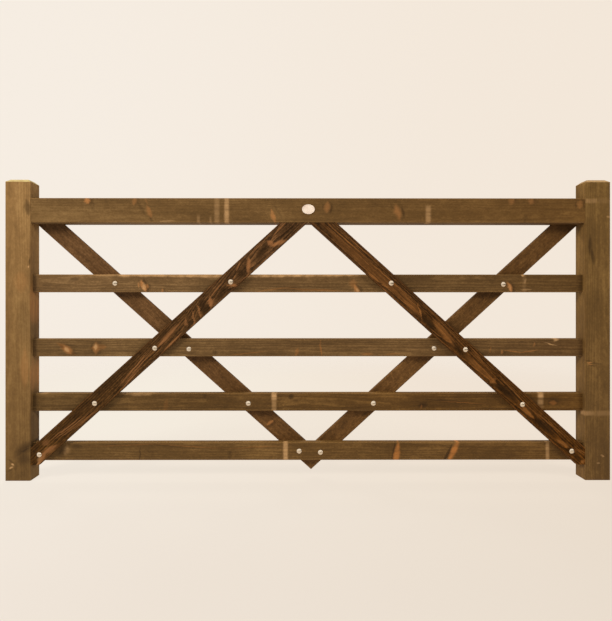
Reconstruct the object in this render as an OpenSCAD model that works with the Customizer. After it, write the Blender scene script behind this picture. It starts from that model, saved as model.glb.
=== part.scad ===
// Timber field gate: five bars between two stiles, with a diamond of braces bolted through the bars.
// X runs along the gate, -Y is its front, Z is up. The origin is on the ground at mid-span.
// The under bars are housed in blind mortises, the top bar has shouldered tenons, and pegs driven
// from the back pin every tenon. Front braces rise to the middle, rear braces to the two corners.

/* [Gate] */
// Width over both stiles
gate_w = 2400; // [2000:10:3600]
// Thickness of the stiles, front to back
frame_t = 75; // [70:1:90]
// Rounding of every long timber edge
arris_r = 3; // [1:0.5:5]

/* [Stiles] */
// Width of a stile, seen from the front
stile_w = 100; // [85:1:130]
// Height of a stile above the top bar, up to its point
stile_rise = 75; // [30:1:150]
// Distance that the weathered top slopes in from each side
bevel_in = 15; // [6:1:25]
// Height of the weathered top's slopes
bevel_h = 11; // [5:1:25]

/* [Bars] */
// Height of the top bar
top_bar_h = 97; // [80:1:130]
// Thickness of the top bar, front to back
top_bar_t = 73; // [60:1:74]
// Height of each under bar
bar_h = 71; // [60:1:90]
// Thickness of each under bar, front to back
bar_t = 35; // [28:1:38]
// Clear gap under the top bar
gap_1 = 205; // [150:1:300]
// Clear gap under the second bar
gap_2 = 186; // [120:1:260]
// Clear gap under the third bar
gap_3 = 147; // [100:1:220]
// Clear gap under the fourth bar
gap_4 = 126; // [90:1:200]
// Height of the bottom bar above the ground
ground_gap = 75; // [60:1:150]

/* [Tenons] */
// Depth of every mortise
mortise_d = 70; // [50:1:80]
// Room left past the end of a tenon
tenon_gap = 0.8; // [0.2:0.1:0.9]
// Room round a tenon in its mortise
tenon_fit = 0.3; // [0.1:0.05:0.6]
// Drop of the top bar's tenon below the top of that bar
haunch = 25; // [10:1:35]
// Diameter of a tenon peg
peg_d = 12; // [8:1:16]
// Distance of a peg from the stile's inner face
peg_in = 28; // [18:1:40]
// Depth that a peg goes into the cheek at the front
peg_bite = 10; // [4:1:14]
// Room round a peg in its hole
peg_fit = 0.1; // [0.05:0.05:0.3]
// Distance between the two pegs of a top tenon
peg_pair = 36; // [28:1:44]

/* [Braces] */
// Width of a brace
brace_w = 72; // [55:1:85]
// Thickness of a brace
brace_t = 19; // [14:1:19]
// Gap between the front braces under the top bar
front_gap = 8; // [2:1:40]
// Height of a front brace's centre line at the stile, above the underside of the bottom bar
front_foot = 5; // [0:1:20]
// Drop of the front braces' level ends below the bottom bar
front_drop = 13; // [4:1:30]
// Drop of the rear braces' point below the bottom bar
rear_drop = 48; // [30:1:55]
// Offset of the rear braces' point from mid-span
rear_shift = 12; // [-30:1:30]

/* [Bolts] */
// Diameter of a coach bolt
bolt_d = 8; // [6:1:10]
// Diameter of a bolt's domed head
head_d = 20; // [16:1:26]
// Height of a bolt's domed head
head_h = 5; // [3:0.5:7]
// Depth of the square neck under a head
neck_h = 5; // [3:0.5:7]
// Room round a bolt in its hole
bolt_fit = 0.25; // [0.1:0.05:0.5]
// Length of thread that stands out of a nut
thread_out = 2.5; // [1:0.5:8]
// Diameter of a washer
washer_d = 24; // [20:1:30]
// Thickness of a washer
washer_t = 2; // [1:0.5:4]
// Width of a nut across its flats
nut_af = 13; // [12:1:18]
// Height of a nut
nut_h = 6.5; // [5:0.5:10]

/* [Badge] */
// Width of the oval badge
badge_w = 50; // [30:1:80]
// Height of the oval badge
badge_h = 38; // [20:1:60]
// Thickness of the badge
badge_t = 2; // [1:0.5:4]

/* [Hidden] */
$fn = 64;
stile_color = "#8a673f";
top_bar_color = "#73552f";
bar_color = "#69502f";
front_brace_color = "#4a2e17";
rear_brace_color = "#5a3f24";
peg_color = "#a27c4d";
zinc_color = "#b9b9b4";
badge_color = "#f1ece4";

// Heights of the bars, from the ground up
bottom_z = ground_gap;
fourth_z = bottom_z + bar_h + gap_4;
third_z = fourth_z + bar_h + gap_3;
second_z = third_z + bar_h + gap_2;
top_z = second_z + bar_h + gap_1;
gate_h = top_z + top_bar_h + stile_rise;
bar_mids = [for (z = [second_z, third_z, fourth_z, bottom_z]) z + bar_h / 2];

// Bays between the stiles and planes from front to back
inner_x = gate_w / 2 - stile_w;
bar_y = bar_t / 2;
brace_y = bar_y + brace_t;
tenon_len = mortise_d - tenon_gap;
tenon_h = top_bar_h - haunch;
top_pegs = [for (s = [-1, 1]) top_z + tenon_h / 2 + s * peg_pair / 2];
peg_zs = concat(top_pegs, bar_mids);
peg_x = inner_x + peg_in;

// Slopes of the braces, in degrees above level
front_x = front_gap / 2;
front_z = bottom_z + front_foot;
front_reach = norm([inner_x - front_x, top_z - front_z]);
front_angle = atan2(top_z - front_z, inner_x - front_x) + asin(brace_w / 2 / front_reach);
rear_z = bottom_z - rear_drop;
brace_len = 2 * front_reach;
function rear_angle(shift) = atan2(top_z - rear_z, inner_x - shift);

// Bolts stand where a brace's centre line crosses the middle of a bar
function front_bolt_x(z) = inner_x - (z - front_z) / tan(front_angle);
function rear_bolt_x(z, shift) =
    shift + (z - rear_z - brace_w / 2 / cos(rear_angle(shift))) / tan(rear_angle(shift));
// Holes are drilled by hand, so each bolt is off its crossing by [along X, up], from the second bar down
front_left_drill = [[15, 5], [-2, -1], [1, -2], [0, -8]];
front_right_drill = [[6, 0], [17, -7], [3, -7], [-19, 4]];
rear_left_drill = [[4, 0], [12, -6], [7, -6], [-9, 0]];
rear_right_drill = [[-1, -4], [2, -3], [-4, -6], [-1, -5]];
function front_bolts(side) = let (drill = side < 0 ? front_left_drill : front_right_drill)
    [for (i = [0:3]) [side * front_bolt_x(bar_mids[i]), bar_mids[i]] + drill[i]];
function rear_bolts(side) = let (drill = side < 0 ? rear_left_drill : rear_right_drill)
    [for (i = [0:3]) [side * rear_bolt_x(bar_mids[i], side * rear_shift), bar_mids[i]] + drill[i]];
bolt_len = bar_t + brace_t + washer_t + nut_h + thread_out;
hole_d = bolt_d + 2 * bolt_fit;
neck_w = bolt_d + bolt_fit;
dome_r = (head_d * head_d / 4 + head_h * head_h) / (2 * head_h);
thread_tip = 1;
nut_chamfer = 0.8;
nut_d = nut_af / cos(30);

badge_rim = 3;
badge_dish = 0.6;
badge_steps = 72;
badge_z = top_z + top_bar_h / 2 + 4;

// Rectangle with rounded corners, centred
module rounded(w, h, r) {
    square([w - 2 * r, h], center = true);
    square([w, h - 2 * r], center = true);
    for (x = [-1, 1], y = [-1, 1])
        translate([x * (w / 2 - r), y * (h / 2 - r)]) circle(r);
}

// Planed timber along X, centred on its length and its section
module timber(len, t, h) {
    translate([-len / 2, 0, 0]) rotate([90, 0, 90]) linear_extrude(len) rounded(t, h, arris_r);
}

// Rod from front to back through y0 and y1
module rod(x, z, y0, y1, d) {
    translate([x, y0, z]) rotate([-90, 0, 0]) cylinder(d = d, h = y1 - y0);
}

module mirrored(side) {
    if (side < 0) mirror([1, 0, 0]) children();
    else children();
}

// Outline of a weathered stile, seen along one side
module weathered(w) {
    polygon([[-w / 2, 0], [w / 2, 0], [w / 2, gate_h - bevel_h], [w / 2 - bevel_in, gate_h],
        [bevel_in - w / 2, gate_h], [-w / 2, gate_h - bevel_h]]);
}

module mortise(z, h) {
    translate([inner_x, -bar_y - tenon_fit, z - tenon_fit])
        cube([mortise_d, bar_t + 2 * tenon_fit, h + 2 * tenon_fit]);
}

module peg_holes(d) {
    for (z = peg_zs) rod(peg_x, z, -bar_y - peg_bite - peg_fit, frame_t / 2 + 1, d);
}

// Stile at the right-hand end
module stile() {
    difference() {
        intersection() {
            translate([inner_x + stile_w / 2, 0, 0])
                linear_extrude(gate_h) rounded(stile_w, frame_t, arris_r);
            translate([inner_x + stile_w / 2, frame_t, 0])
                rotate([90, 0, 0]) linear_extrude(2 * frame_t) weathered(stile_w);
            translate([inner_x, 0, 0])
                rotate([90, 0, 90]) linear_extrude(stile_w) weathered(frame_t);
        }
        for (z = bar_mids) mortise(z - bar_h / 2, bar_h);
        mortise(top_z, tenon_h);
        peg_holes(peg_d + 2 * peg_fit);
    }
}

// Square pocket that a bolt's neck is drawn into, from the plane y
module neck_pocket(x, z, y) {
    side = neck_w + bolt_fit;
    translate([x - side / 2, y - 1, z - side / 2]) cube([side, neck_h + bolt_fit + 1, side]);
}

// Under bar with its full section housed in both stiles, counted from the second bar down
module under_bar(i) {
    color(bar_color) difference() {
        translate([0, 0, bar_mids[i]]) timber(2 * (inner_x + tenon_len), bar_t, bar_h);
        for (side = [-1, 1]) {
            front = front_bolts(side)[i];
            rear = rear_bolts(side)[i];
            rod(front.x, front.y, -bar_t, bar_t, hole_d);
            rod(rear.x, rear.y, -bar_t, bar_t, hole_d);
            neck_pocket(rear.x, rear.y, -bar_y);
            rod(side * peg_x, bar_mids[i], -bar_t, bar_t, peg_d + 2 * peg_fit);
        }
    }
}

// Front brace at the given side
module front_brace(side) {
    color(front_brace_color) difference() {
        mirrored(side) intersection() {
            translate([inner_x, -bar_y - brace_t / 2, front_z])
                rotate([0, front_angle, 0]) timber(brace_len, brace_t, brace_w);
            translate([0, -brace_y - 1, bottom_z - front_drop])
                cube([inner_x, brace_t + 2, top_z - bottom_z + front_drop]);
        }
        for (bolt = front_bolts(side)) {
            rod(bolt.x, bolt.y, -brace_y - 1, 0, hole_d);
            neck_pocket(bolt.x, bolt.y, -brace_y);
        }
    }
}

// Rear brace at the given side, which meets its pair at x = rear_shift
module rear_brace(side) {
    shift = side * rear_shift;
    color(rear_brace_color) difference() {
        mirrored(side) intersection() {
            translate([shift, bar_y + brace_t / 2, rear_z]) rotate([0, -rear_angle(shift), 0])
                translate([0, 0, brace_w / 2]) timber(2 * brace_len, brace_t, brace_w);
            translate([shift, bar_y - 1, 0]) cube([inner_x - shift, brace_t + 2, top_z]);
        }
        for (bolt = rear_bolts(side)) rod(bolt.x, bolt.y, 0, brace_y + 1, hole_d);
    }
}

// Coach bolt that points along Y, with the underside of its head at y = 0
module coach_bolt() {
    rotate([-90, 0, 0]) {
        intersection() {
            translate([0, 0, dome_r - head_h]) sphere(dome_r);
            translate([0, 0, -head_h]) cylinder(d = head_d + 1, h = head_h);
        }
        translate([-neck_w / 2, -neck_w / 2, 0]) cube([neck_w, neck_w, neck_h]);
        cylinder(d = bolt_d, h = bolt_len - thread_tip);
        translate([0, 0, bolt_len - thread_tip])
            cylinder(d1 = bolt_d, d2 = bolt_d - 2 * thread_tip, h = thread_tip);
    }
}

module washer() {
    rotate([-90, 0, 0]) difference() {
        cylinder(d = washer_d, h = washer_t);
        translate([0, 0, -1]) cylinder(d = hole_d, h = washer_t + 2);
    }
}

// Hexagon nut with its outer corners chamfered
module nut() {
    rotate([-90, 0, 0]) difference() {
        intersection() {
            cylinder(d = nut_d, h = nut_h, $fn = 6);
            union() {
                cylinder(d = nut_d + 1, h = nut_h - nut_chamfer);
                translate([0, 0, nut_h - nut_chamfer])
                    cylinder(d1 = nut_d, d2 = nut_af, h = nut_chamfer);
            }
        }
        translate([0, 0, -1]) cylinder(d = bolt_d + 2 * peg_fit, h = nut_h + 2);
    }
}

// One of each child at every bolt of a front or rear brace on the given side
module at_front_bolts(side, y) {
    color(zinc_color) for (bolt = front_bolts(side)) translate([bolt.x, y, bolt.y]) children();
}

module at_rear_bolts(side, y) {
    color(zinc_color) for (bolt = rear_bolts(side)) translate([bolt.x, y, bolt.y]) children();
}

module hanging_stile() { color(stile_color) mirrored(-1) stile(); }

module closing_stile() { color(stile_color) stile(); }

module top_bar() {
    color(top_bar_color) difference() {
        union() {
            translate([0, 0, top_z + top_bar_h / 2]) timber(2 * inner_x, top_bar_t, top_bar_h);
            translate([-inner_x - tenon_len, -bar_y, top_z])
                cube([2 * (inner_x + tenon_len), bar_t, tenon_h]);
        }
        for (side = [-1, 1], z = top_pegs)
            rod(side * peg_x, z, -bar_t, bar_t, peg_d + 2 * peg_fit);
    }
}

module second_bar() { under_bar(0); }

module third_bar() { under_bar(1); }

module fourth_bar() { under_bar(2); }

module bottom_bar() { under_bar(3); }

module front_brace_left() { front_brace(-1); }

module front_brace_right() { front_brace(1); }

module rear_brace_left() { rear_brace(-1); }

module rear_brace_right() { rear_brace(1); }

// Pegs of one stile, flush with its back
module pegs(side) {
    color(peg_color) mirrored(side)
        for (z = peg_zs) rod(peg_x, z, -bar_y - peg_bite, frame_t / 2, peg_d);
}

module hanging_pegs() { pegs(-1); }

module closing_pegs() { pegs(1); }

module front_left_bolts() { at_front_bolts(-1, -brace_y) coach_bolt(); }

module front_right_bolts() { at_front_bolts(1, -brace_y) coach_bolt(); }

module rear_left_bolts() { at_rear_bolts(-1, -bar_y) coach_bolt(); }

module rear_right_bolts() { at_rear_bolts(1, -bar_y) coach_bolt(); }

module front_left_washers() { at_front_bolts(-1, bar_y) washer(); }

module front_right_washers() { at_front_bolts(1, bar_y) washer(); }

module rear_left_washers() { at_rear_bolts(-1, brace_y) washer(); }

module rear_right_washers() { at_rear_bolts(1, brace_y) washer(); }

module front_left_nuts() { at_front_bolts(-1, bar_y + washer_t) nut(); }

module front_right_nuts() { at_front_bolts(1, bar_y + washer_t) nut(); }

module rear_left_nuts() { at_rear_bolts(-1, brace_y + washer_t) nut(); }

module rear_right_nuts() { at_rear_bolts(1, brace_y + washer_t) nut(); }

module oval(w, h) {
    polygon([for (i = [1:badge_steps])
        [w / 2 * cos(360 * i / badge_steps), h / 2 * sin(360 * i / badge_steps)]]);
}

// Blank oval badge with a raised rim, flat against the front of the top bar
module badge_plate() {
    color(badge_color) translate([0, -top_bar_t / 2, badge_z]) rotate([90, 0, 0]) difference() {
        linear_extrude(badge_t) oval(badge_w, badge_h);
        translate([0, 0, badge_t - badge_dish]) linear_extrude(badge_t)
            oval(badge_w - 2 * badge_rim, badge_h - 2 * badge_rim);
    }
}

hanging_stile();
closing_stile();
top_bar();
second_bar();
third_bar();
fourth_bar();
bottom_bar();
front_brace_left();
front_brace_right();
rear_brace_left();
rear_brace_right();
hanging_pegs();
closing_pegs();
front_left_bolts();
front_right_bolts();
rear_left_bolts();
rear_right_bolts();
front_left_washers();
front_right_washers();
rear_left_washers();
rear_right_washers();
front_left_nuts();
front_right_nuts();
rear_left_nuts();
rear_right_nuts();
badge_plate();
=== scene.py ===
import math
from collections import namedtuple

import bpy
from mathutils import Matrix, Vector


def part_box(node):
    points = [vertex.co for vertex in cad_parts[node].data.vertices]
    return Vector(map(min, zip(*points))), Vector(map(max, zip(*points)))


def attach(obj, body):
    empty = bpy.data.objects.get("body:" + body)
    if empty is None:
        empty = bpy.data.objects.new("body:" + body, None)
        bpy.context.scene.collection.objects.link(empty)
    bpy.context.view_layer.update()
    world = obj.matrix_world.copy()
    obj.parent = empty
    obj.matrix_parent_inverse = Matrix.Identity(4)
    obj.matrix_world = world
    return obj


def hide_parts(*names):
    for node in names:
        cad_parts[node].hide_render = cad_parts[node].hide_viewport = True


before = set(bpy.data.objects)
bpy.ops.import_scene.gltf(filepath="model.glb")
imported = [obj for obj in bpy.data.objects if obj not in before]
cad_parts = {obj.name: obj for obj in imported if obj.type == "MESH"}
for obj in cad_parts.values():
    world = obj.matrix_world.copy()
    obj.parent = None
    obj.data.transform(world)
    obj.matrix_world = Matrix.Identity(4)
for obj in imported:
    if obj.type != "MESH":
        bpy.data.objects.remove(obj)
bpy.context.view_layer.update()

# Timber field gate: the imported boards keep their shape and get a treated-softwood finish each.
# X runs along the gate, -Y is its front, Z is up, all in metres.

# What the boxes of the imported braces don't give: a brace's width, and how far above the lower
# edge of the bottom bar a front brace's middle line meets its outer end.
BRACE_WIDE = 0.072
FRONT_FOOT = 0.005


def tint(red, green, blue):
    """A screen's colour, 0 to 255, as the light that it stands for, by the sRGB curve."""
    def light(part):
        part /= 255
        return part / 12.92 if part <= 0.04045 else ((part + 0.055) / 1.055) ** 2.4
    return light(red), light(green), light(blue), 1.0


# Finishes: one class for a value on a surface, one for the finish that it is part of

class Reading:
    """A value that changes over a surface. Arithmetic on it adds Math nodes to its finish."""

    def __init__(self, finish, socket):
        self.finish = finish
        self.socket = socket

    def math(self, operation, *others):
        values = dict(enumerate((self, *others)))
        return self.finish.node("Math", {"operation": operation}, values)

    def math_after(self, first, operation):
        """The same, where another value comes first."""
        return self.finish.node("Math", {"operation": operation}, {0: first, 1: self})

    def __add__(self, other):
        return self.math("ADD", other)

    def __sub__(self, other):
        return self.math("SUBTRACT", other)

    def __rsub__(self, other):
        return self.math_after(other, "SUBTRACT")

    def __mul__(self, other):
        return self.math("MULTIPLY", other)

    def __truediv__(self, other):
        return self.math("DIVIDE", other)

    def __rtruediv__(self, other):
        return self.math_after(other, "DIVIDE")

    def __abs__(self):
        return self.math("ABSOLUTE")

    __radd__ = __add__
    __rmul__ = __mul__

    def root(self):
        return self.math("SQRT")

    def least(self, other):
        return self.math("MINIMUM", other)

    def most(self, other):
        return self.math("MAXIMUM", other)

    def rest(self):
        """What is left over after the whole number."""
        return self.math("FRACT")

    def rise(self, start, end, style="SMOOTHSTEP"):
        """0 at start and 1 at end, held outside them; it falls where start is the greater."""
        return self.finish.node("MapRange", {"interpolation_type": style},
                                {"Value": self, "From Min": start, "From Max": end})


class Finish:
    """The nodes of a material, or of the room around the gate."""

    def __init__(self, owner):
        owner.use_nodes = True
        self.owner = owner
        self.tree = owner.node_tree
        self.tree.nodes.clear()

    def node(self, kind, settings=None, values=None, out=0):
        """Adds a node and gives one of its outputs, where it has any."""
        made = self.tree.nodes.new("ShaderNode" + kind)
        for name, setting in (settings or {}).items():
            if name == "stops":
                self.set_stops(made.color_ramp, setting)
            else:
                setattr(made, name, setting)
        for name, value in (values or {}).items():
            if isinstance(value, Reading):
                self.tree.links.new(value.socket, made.inputs[name])
            else:
                made.inputs[name].default_value = value
        return Reading(self, made.outputs[out]) if len(made.outputs) else None

    @staticmethod
    def set_stops(ramp, stops):
        while len(ramp.elements) < len(stops):
            ramp.elements.new(1.0)
        for element, (place, colour) in zip(ramp.elements, stops):
            element.position = place
            element.color = colour

    def ramp(self, stops, share):
        """The colour that the stops give for a share, 0 to 1."""
        return self.node("ValToRGB", {"stops": stops}, {"Fac": share})

    def place(self, centre=(0, 0, 0), turn=0.0):
        """Object coordinates, measured from a centre and turned about Y."""
        spot = self.node("TexCoord", out="Object")
        return self.node("Mapping", {"vector_type": "TEXTURE"},
                         {"Vector": spot, "Location": centre, "Rotation": (0, turn, 0)})

    def parts(self, vector):
        split = self.node("SeparateXYZ", None, {0: vector})
        outputs = split.socket.node.outputs
        return [Reading(self, outputs[i]) for i in range(3)]

    def vector(self, operation, *items, out=0):
        return self.node("VectorMath", {"operation": operation}, dict(enumerate(items)), out)

    def noise(self, vector, waves, seed, detail=2.0, rough=0.5):
        """Noise about 0.5, with so many waves in a metre along each axis."""
        spot = self.vector("MULTIPLY_ADD", vector, waves, seed)
        return self.node("TexNoise", None,
                         {"Vector": spot, "Scale": 1.0, "Detail": detail, "Roughness": rough})

    def blend(self, under, over, share):
        """Two colours mixed; share 1 is all of the second."""
        return self.node("Mix", {"data_type": "RGBA"}, {0: share, 6: under, 7: over}, out=2)

    def scaled(self, colour, amount):
        return self.node("VectorMath", {"operation": "SCALE"}, {0: colour, "Scale": amount})

    def close(self, colour, roughness, height, depth, **constants):
        """Ends the finish in a Principled shader with a bump of the given depth in metres."""
        bump = self.node("Bump", None, {"Height": height, "Distance": depth, "Strength": 1.0})
        values = {"Base Color": colour, "Roughness": roughness, "Normal": bump}
        values.update({name.replace("_", " "): value for name, value in constants.items()})
        shader = self.node("BsdfPrincipled", None, values)
        self.node("OutputMaterial", None, {"Surface": shader})
        return self.owner


def dress(node, material):
    """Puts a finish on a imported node."""
    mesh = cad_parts[node].data
    mesh.materials.clear()
    mesh.materials.append(material)


# Timber: where each board lies

# A board lies along its own axis; thick and wide are half of its thickness and of its width.
Board = namedtuple("Board", "node centre turn thick wide")


def level_board(node):
    low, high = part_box(node)
    return Board(node, (low + high) / 2, 0.0, (high.y - low.y) / 2, (high.z - low.z) / 2)


def upright_board(node):
    low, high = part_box(node)
    return Board(node, (low + high) / 2, math.radians(-90), (high.y - low.y) / 2,
                 (high.x - low.x) / 2)


def brace_middle():
    """Height half-way between the highest and the lowest bar that the braces cross."""
    second, bottom = level_board("second_bar"), level_board("bottom_bar")
    return (second.centre.z + bottom.centre.z) / 2


def front_brace_board(node, way):
    """A front brace stands on its foot at the stile; way is 1 where it rises to the right."""
    low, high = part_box(node)
    outer, inner = (low.x, high.x) if way > 0 else (high.x, low.x)
    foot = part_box("bottom_bar")[0].z + FRONT_FOOT
    run, rise = abs(inner - outer), high.z - foot
    slope = math.atan2(rise, run) + math.asin(BRACE_WIDE / 2 / math.hypot(run, rise))
    x = outer + way * (brace_middle() - foot) / math.tan(slope)
    centre = Vector((x, (low.y + high.y) / 2, brace_middle()))
    return Board(node, centre, -way * slope, (high.y - low.y) / 2, BRACE_WIDE / 2)


def rear_brace_board(node, way):
    """A rear brace rises from its point to the stile's corner; way is 1 to the right."""
    low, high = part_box(node)
    inner, outer = (low.x, high.x) if way > 0 else (high.x, low.x)
    slope = math.atan2(high.z - low.z, abs(outer - inner))
    lift = brace_middle() - low.z - BRACE_WIDE / 2 / math.cos(slope)
    centre = Vector((inner + way * lift / math.tan(slope), (low.y + high.y) / 2, brace_middle()))
    return Board(node, centre, -way * slope, (high.y - low.y) / 2, BRACE_WIDE / 2)


# Timber: the finish of a board

# Growth rings: their gap, how many lie between heart and face, the heart's line across the
# board, the places along it where a ring closes in a tip, the way that the tips point, and how
# far the rings waver.
Rings = namedtuple("Rings", "gap deep heart lean bow tips way waver")
# A mark is a bent lens on the board's face: its place, half its length and width, its slope in
# degrees, how strongly it shows, and its bend.
Mark = namedtuple("Mark", "along across long wide slope strength bend", defaults=(0, 1.0, 0.0))
# A stripe crosses the face from edge to edge, or from low to high; wide is about half its width.
Stripe = namedtuple("Stripe", "along wide strength low high", defaults=(1.0, -1.0, 1.0))
# What shows on one board besides its grain.
Marks = namedtuple("Marks", "knots flames dark scuffs stripes", defaults=((),) * 5)
Tones = namedtuple("Tones", "deep body light flame")

AMBER = tint(178, 120, 68)
STRAW = tint(190, 148, 100)
DARK_MARK_TONE = tint(42, 27, 12)

# Waves of each noise in a metre of a board: along it, through it and across it.
BROAD = (4.5, 11, 11)
MOTTLE = (34, 55, 55)
MIDDLE = (5, 75, 75)
FINE = (26, 760, 760)
SPECKLE = (115, 155, 155)
TORN = (7, 190, 190)
WAVER = (4, 26, 26)
STREAK = (20, 220, 220)
# How far the noise of one board lies from that of the next, so that no two are alike.
SEED_STEP = (3.7, 1.9, 5.3)

# How far the lines of marks stray along and across a board, and on a torn one along it.
STRAY_ALONG, STRAY_ACROSS = 0.012, 0.007
SPLINTER, TORN_STRAY = 0.020, 0.014
# A knot's shaded side lies this far along the board from the knot.
KNOT_SHADE = 0.009
# How far a stripe's line strays, how softly it ends, and how far in front of the board's middle
# it shows in full.
STRIPE_STRAY, STRIPE_END, STRIPE_FRONT = 0.003, 0.008, 0.002
# A ring's tone changes between these shares of its width, and ends sharply.
EARLY_WOOD, LATE_WOOD = 0.2, 0.95
# A bold figure is never darker than this share of its colour.
DARKEST = 0.45
# An edge is lightened, partly as wear and partly as a painted highlight on its rounding, from this far
# away, and in full this close to it.
WEAR_AND_SHEEN_FROM, WEAR_AND_SHEEN_FULL = 0.005, 0.001
# How squarely a surface faces across or along its board to count as a side or a cut end.
SIDE_ON, END_ON = (0.6, 0.9), (0.5, 0.7)
GRAIN_DEPTH = 0.0008


class Timber(Finish):
    """Planed softwood with a brown treatment, figured along one board."""

    def __init__(self, board, seed, tones):
        super().__init__(bpy.data.materials.new(board.node + "_timber"))
        self.board = board
        self.tones = tones
        self.seed = tuple(seed * step for step in SEED_STEP)
        self.grain = self.place(board.centre, board.turn)
        self.along, self.through, self.across = self.parts(self.grain)
        self.broad = self.sway(BROAD, 3.0)
        self.mottle = self.sway(MOTTLE)
        self.middle = self.sway(MIDDLE, 3.0)
        self.fine = self.sway(FINE, 3.0, 0.6)
        self.speckle = self.sway(SPECKLE)
        self.draw_face(self.along + self.mottle * STRAY_ALONG)

    def sway(self, waves, detail=2.0, rough=0.5):
        """Noise about zero that runs along the board."""
        return self.noise(self.grain, waves, self.seed, detail, rough) - 0.5

    def draw_face(self, along):
        """The face that marks lie on, a little crooked, so that none has a clean outline."""
        across = self.across + self.mottle * STRAY_ACROSS
        self.face = self.node("CombineXYZ", None, {0: along, 2: across})

    def tear(self):
        """Draws the marks out into splinters along the grain."""
        self.draw_face(self.along + self.sway(TORN) * SPLINTER + self.mottle * TORN_STRAY)

    def saw(self, rings):
        """Where a point lies between one growth ring and the next, 0 to 1."""
        run = self.along * rings.way
        spots = sorted(rings.way * tip for tip in rings.tips)
        closed = run.rise(spots[0], spots[1], "LINEAR")
        for start, end in zip(spots[1:], spots[2:]):
            closed = closed + run.rise(start, end, "LINEAR")
        depth = (self.through + self.board.thick) * (-1 / rings.gap) + rings.deep
        heart = self.along * rings.lean + self.along * self.along * rings.bow + rings.heart
        side = (self.across - heart) / rings.gap
        spread = (depth * depth + side * side).root() - rings.deep
        return (spread + closed + self.sway(WAVER) * rings.waver + self.mottle * 0.35).rest()

    def patch(self, marks, outer=1.2, inner=0.3, aside=0.0):
        """How strongly the nearest of these marks shows, 0 to 1, or of their shaded sides."""
        whole = None
        for mark in marks:
            spot = self.node("Mapping", {"vector_type": "TEXTURE"},
                             {"Vector": self.face, "Location": (mark.along + aside, 0, mark.across),
                              "Rotation": (0, math.radians(-mark.slope), 0),
                              "Scale": (mark.long, 1, mark.wide)})
            x, _, z = self.parts(spot)
            square = x * x
            if mark.bend:
                z = z - square * mark.bend
            mask = (abs(z) + square).rise(outer, inner) * mark.strength
            whole = mask if whole is None else whole.most(mask)
        return whole

    def stripe_mask(self, stripes):
        """How strongly the nearest of these stripes shows on the board's front, 0 to 1."""
        whole = None
        for stripe in stripes:
            off = abs(self.along - stripe.along + self.mottle * STRIPE_STRAY)
            mask = off.rise(stripe.wide * 1.5, stripe.wide * 0.4) * stripe.strength
            if stripe.low > -1:
                mask = mask * self.across.rise(stripe.low - STRIPE_END, stripe.low + STRIPE_END)
            if stripe.high < 1:
                mask = mask * self.across.rise(stripe.high + STRIPE_END, stripe.high - STRIPE_END)
            whole = mask if whole is None else whole.most(mask)
        front = self.through.rise(0.0, -STRIPE_FRONT)
        return whole * front * (self.middle * 1.4 + self.fine + 0.85)

    def plain_grain(self, rings, share, speckle=0.36, fine=0.5, mottle=0.3, streak=0.24):
        """Faint rings, which show by their share, under streaks, mottle and specks."""
        saw = self.saw(rings)
        late = saw.rise(EARLY_WOOD, LATE_WOOD) * saw.rise(1.0, LATE_WOOD)
        tone = ((late - 0.45) * share + self.middle * streak + self.fine * fine + self.broad * 0.7
                + self.mottle * mottle + self.speckle * speckle + 0.5)
        stops = [(0.0, self.tones.deep), (0.5, self.tones.body), (1.0, self.tones.light)]
        self.colour = self.ramp(stops, tone)
        self.height = self.fine * 0.6 + late * 0.25 + self.middle * 0.3

    def bold_grain(self, rings, figure):
        """Rings that show in the colours of a figure, broken by dark and pale streaks."""
        saw = self.saw(rings)
        tone = (self.middle * 0.7 + self.fine * 0.9 + self.broad * 0.7 + self.mottle * 0.8
                + self.speckle * 1.7 + self.sway(STREAK) * 2.3 + 1.0)
        self.colour = self.scaled(self.ramp(figure, saw), tone.most(DARKEST))
        self.height = self.fine * 0.6 + saw * 0.4 + self.middle * 0.3

    def fade(self, low, high, reach):
        """Tinted from one end of the board to the other, partly for the board's own tone and partly as a
        painted sheen of the lamps' light; 1 leaves a part of the colour alone.
        """
        share = self.along.rise(-reach, reach, "LINEAR")
        tint_with_sheen = self.blend((*low, 1.0), (*high, 1.0), share)
        self.colour = self.vector("MULTIPLY", self.colour, tint_with_sheen)

    def show(self, marks):
        """Lays the marks over the grain, from the darkest to the palest."""
        if marks.dark:
            mask = self.patch(marks.dark, outer=1.5, inner=0.2)
            self.colour = self.blend(self.colour, DARK_MARK_TONE, mask * 0.85)
        if marks.flames:
            mask = self.patch(marks.flames) * (self.middle * 1.6 + self.fine + 0.9)
            self.colour = self.blend(self.colour, self.tones.flame, mask)
        if marks.knots:
            shade = self.patch(marks.knots, outer=2.0, inner=0.5, aside=KNOT_SHADE)
            self.colour = self.blend(self.colour, self.tones.deep, shade * 0.65)
            heart = self.patch(marks.knots, outer=1.5, inner=0.1)
            self.colour = self.blend(self.colour, AMBER, heart * (self.fine + 0.9))
            self.height = self.height + heart * 0.4
        # Pale patches: real scuffs, and on the tops of some bars a painted highlight where light falls
        # from above.
        if marks.scuffs:
            mask = self.patch(marks.scuffs) * (self.mottle * 2.0 + 0.9)
            self.colour = self.blend(self.colour, STRAW, mask)
            self.height = self.height - mask * 0.5
        if marks.stripes:
            self.colour = self.blend(self.colour, STRAW, self.stripe_mask(marks.stripes))

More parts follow.
